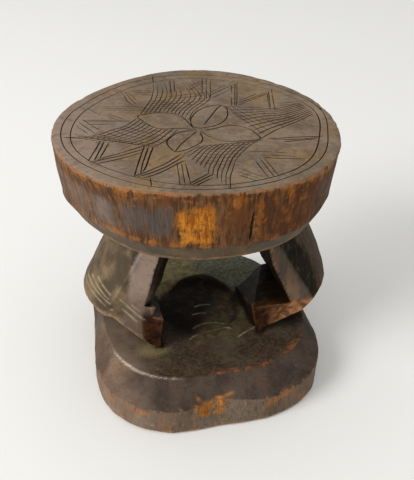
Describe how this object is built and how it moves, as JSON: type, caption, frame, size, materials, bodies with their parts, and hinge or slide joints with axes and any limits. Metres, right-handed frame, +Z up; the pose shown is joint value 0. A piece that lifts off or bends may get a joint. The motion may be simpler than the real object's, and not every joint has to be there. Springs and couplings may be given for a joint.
{
  "type": "carved wooden stool",
  "caption": "Low stool carved from one block of wood: thick round seat with an incised top, two bent wings and a two-lobed base with a shallow dish.",
  "frame": {"origin": "on the ground under the middle of the whole stool", "axes": "+Z up; X runs through both wings; Y runs through the open passage between them, with the front at -Y"},
  "size_m": [0.2776, 0.278, 0.276],
  "materials": {
    "wood": "hand-cut, worn and dark with age, satin"
  },
  "bodies": {
    "root": {"stool": "wood"}
  },
  "joints": []
}
